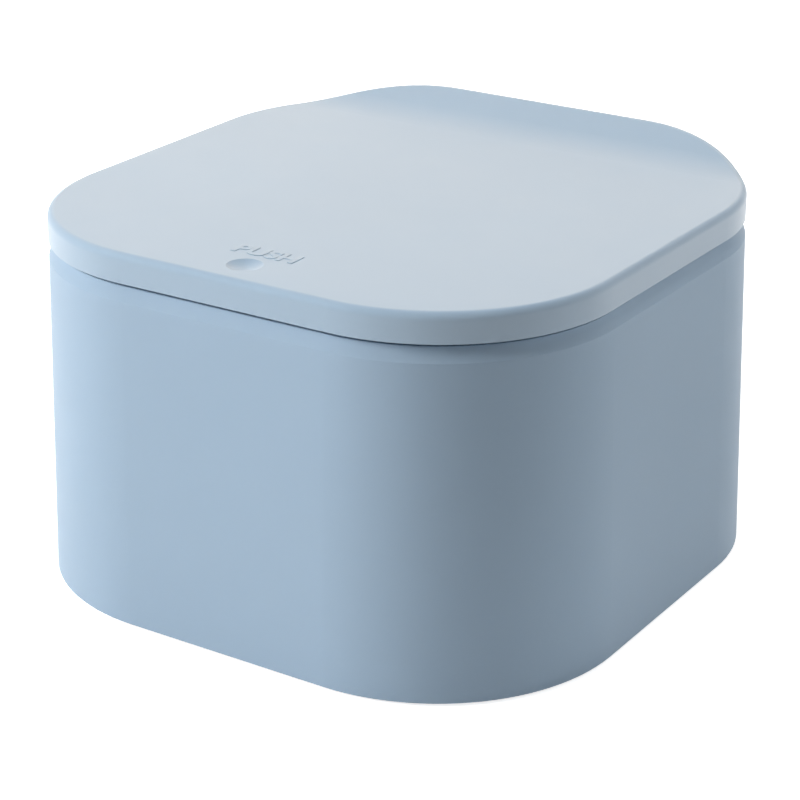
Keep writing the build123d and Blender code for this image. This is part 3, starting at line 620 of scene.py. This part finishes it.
def screw_tree():
    tree = bpy.data.node_groups.new("screw on every point", "GeometryNodeTree")
    sockets = tree.interface
    sockets.new_socket("Points", in_out="INPUT", socket_type="NodeSocketGeometry")
    for name in SIZE_INPUTS:
        sockets.new_socket(name, in_out="INPUT", socket_type="NodeSocketFloat")
    sockets.new_socket("Finish", in_out="INPUT", socket_type="NodeSocketMaterial")
    sockets.new_socket("Screws", in_out="OUTPUT", socket_type="NodeSocketGeometry")
    given = tree.nodes.new("NodeGroupInput").outputs

    head = screw_head(tree, given)
    thread, core = screw_shank(tree, given)
    screw = add_node(tree, "GeometryNodeJoinGeometry")
    for part in (thread, core, head):
        tree.links.new(part, screw.inputs["Geometry"])

    turn = add_node(tree, "ShaderNodeCombineXYZ")
    tree.links.new(given["Tilt"], turn.inputs["X"])
    copies = add_node(tree, "GeometryNodeInstanceOnPoints")
    tree.links.new(given["Points"], copies.inputs["Points"])
    tree.links.new(screw.outputs["Geometry"], copies.inputs["Instance"])
    tree.links.new(turn.outputs[0], copies.inputs["Rotation"])
    real = add_node(tree, "GeometryNodeRealizeInstances")
    tree.links.new(copies.outputs["Instances"], real.inputs["Geometry"])
    finish = add_node(tree, "GeometryNodeSetMaterial")
    tree.links.new(real.outputs["Geometry"], finish.inputs["Geometry"])
    tree.links.new(given["Finish"], finish.inputs["Material"])
    out = tree.nodes.new("NodeGroupOutput")
    tree.links.new(finish.outputs["Geometry"], out.inputs["Screws"])
    return tree


SCREW_TREE = screw_tree()
print("screw tree has", len(SCREW_TREE.nodes), "nodes")

# %% [markdown]
# ### From tree to plain meshes
#
# A modifier's inputs are set through the identifiers of the sockets, because two sockets may
# share a name. The evaluated result is copied into a plain mesh and the modifier is dropped,
# so that what is left is an ordinary piece that can be exported.


# %% Stand the screws in their places
THREAD_PITCH = 0.8 * MM


def plain_piece(name, points, tree, values):
    """A plain mesh object made by running a tree on some points."""
    seed = bpy.data.meshes.new(name + " points")
    seed.from_pydata(points, [], [])
    carrier = bpy.data.objects.new(name + " points", seed)
    bpy.context.scene.collection.objects.link(carrier)
    modifier = carrier.modifiers.new("nodes", "NODES")
    modifier.node_group = tree
    for item in tree.interface.items_tree:
        if item.in_out == "INPUT" and item.name in values:
            modifier[item.identifier] = values[item.name]
    seen = bpy.context.evaluated_depsgraph_get()
    result = bpy.data.meshes.new_from_object(carrier.evaluated_get(seen))
    bpy.data.objects.remove(carrier)
    piece = bpy.data.objects.new(name, result)
    bpy.context.scene.collection.objects.link(piece)
    return piece


def real_screws(node_name, body, head_height_mm, shank_radius_mm, heads_up=False):
    """Screws with a cross recess and thread in place of a node's plain ones."""
    boxes = loose_boxes(nodes[node_name])
    low, high = boxes[0]
    head_height = head_height_mm * MM
    seat = high[2] - head_height if heads_up else low[2] + head_height
    length = high[2] - low[2] - head_height
    points = [((a[0] + b[0]) / 2, (a[1] + b[1]) / 2, seat) for a, b in boxes]
    values = {
        "Head Radius": (high[0] - low[0]) / 2,
        "Head Height": head_height,
        "Shank Radius": shank_radius_mm * MM,
        "Length": length,
        "Turns": length / THREAD_PITCH,
        "Tilt": math.pi if heads_up else 0.0,
        "Finish": finishes["steel"],
    }
    piece = plain_piece(node_name + "_threaded", points, SCREW_TREE, values)
    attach(piece, body)
    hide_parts(node_name)
    print(node_name, "->", len(points), "screws,", len(piece.data.polygons), "faces")
    return piece


LARGE = {"head_height_mm": 1.5, "shank_radius_mm": 1.3}
SMALL = {"head_height_mm": 1.0, "shank_radius_mm": 0.9}
real_screws("base_screws", "sleeve", **LARGE)
real_screws("lid_screws", "lid", **LARGE)
real_screws("striker_screws", "lid", **SMALL)
real_screws("latch_screws", "frame", heads_up=True, **SMALL)

# %% [markdown]
# ## The word on the lid
#
# Behind the fingertip dimple stands the plain word that says what to do, raised a little from
# the lid. It is a text object in Blender's own plain lettering, given a thickness and a
# rounded edge, then turned into a mesh, which is sized and moved vertex by vertex so that the
# object itself stays at the origin.

# %% Raised word behind the dimple
WORD_WIDTH = 20.1 * MM
WORD_HEIGHT = 6.0 * MM
WORD_MIDDLE_X = -0.15 * MM
WORD_FRONT_Y = -68.5 * MM
WORD_RELIEF = 0.17 * MM
WORD_SINK = 0.05 * MM
WORD_EDGE = 0.036            # rounding of a letter, as a share of the letter size
WORD_WEIGHT = 0.004          # how much the strokes are thickened
WORD_TRACKING = 0.98         # spacing of the letters, where 1 is the plain spacing
WORD_EDGE_STEPS = 3
WORD_RAW_DEPTH = 0.01        # straight part before sizing, so most of the height is rounded


def raised_word(text, flat_z):
    curve = bpy.data.curves.new("word", "FONT")
    curve.body = text
    curve.extrude = WORD_RAW_DEPTH
    curve.bevel_depth = WORD_EDGE
    curve.bevel_resolution = WORD_EDGE_STEPS
    curve.offset = WORD_WEIGHT
    curve.space_character = WORD_TRACKING
    carrier = bpy.data.objects.new("word text", curve)
    bpy.context.scene.collection.objects.link(carrier)
    seen = bpy.context.evaluated_depsgraph_get()
    mesh = bpy.data.meshes.new_from_object(carrier.evaluated_get(seen))
    bpy.data.objects.remove(carrier)
    low = [min(vertex.co[axis] for vertex in mesh.vertices) for axis in range(3)]
    high = [max(vertex.co[axis] for vertex in mesh.vertices) for axis in range(3)]
    goal = (WORD_WIDTH, WORD_HEIGHT, WORD_RELIEF + WORD_SINK)
    start = (WORD_MIDDLE_X - WORD_WIDTH / 2, WORD_FRONT_Y, flat_z - WORD_SINK)
    for vertex in mesh.vertices:
        for axis in range(3):
            share = (vertex.co[axis] - low[axis]) / (high[axis] - low[axis])
            vertex.co[axis] = start[axis] + share * goal[axis]
    mesh.materials.clear()
    mesh.materials.append(finishes["lid_plastic"])
    piece = bpy.data.objects.new("push_word", mesh)
    bpy.context.scene.collection.objects.link(piece)
    return piece


def lid_flat_height():
    """Height of the flat top of the lid: its highest point in front of the swept-up back."""
    places = [vertex.co for vertex in nodes["lid_cover"].data.vertices]
    return max(place.z for place in places if place.y < 0)


word = raised_word("PUSH", lid_flat_height())
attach(word, "lid")
print("word stands at z =", round(lid_flat_height(), 5))

# %% [markdown]
# ## Last step
#
# This last cell only closes the script.

# %% Finish
print("scene dressed")
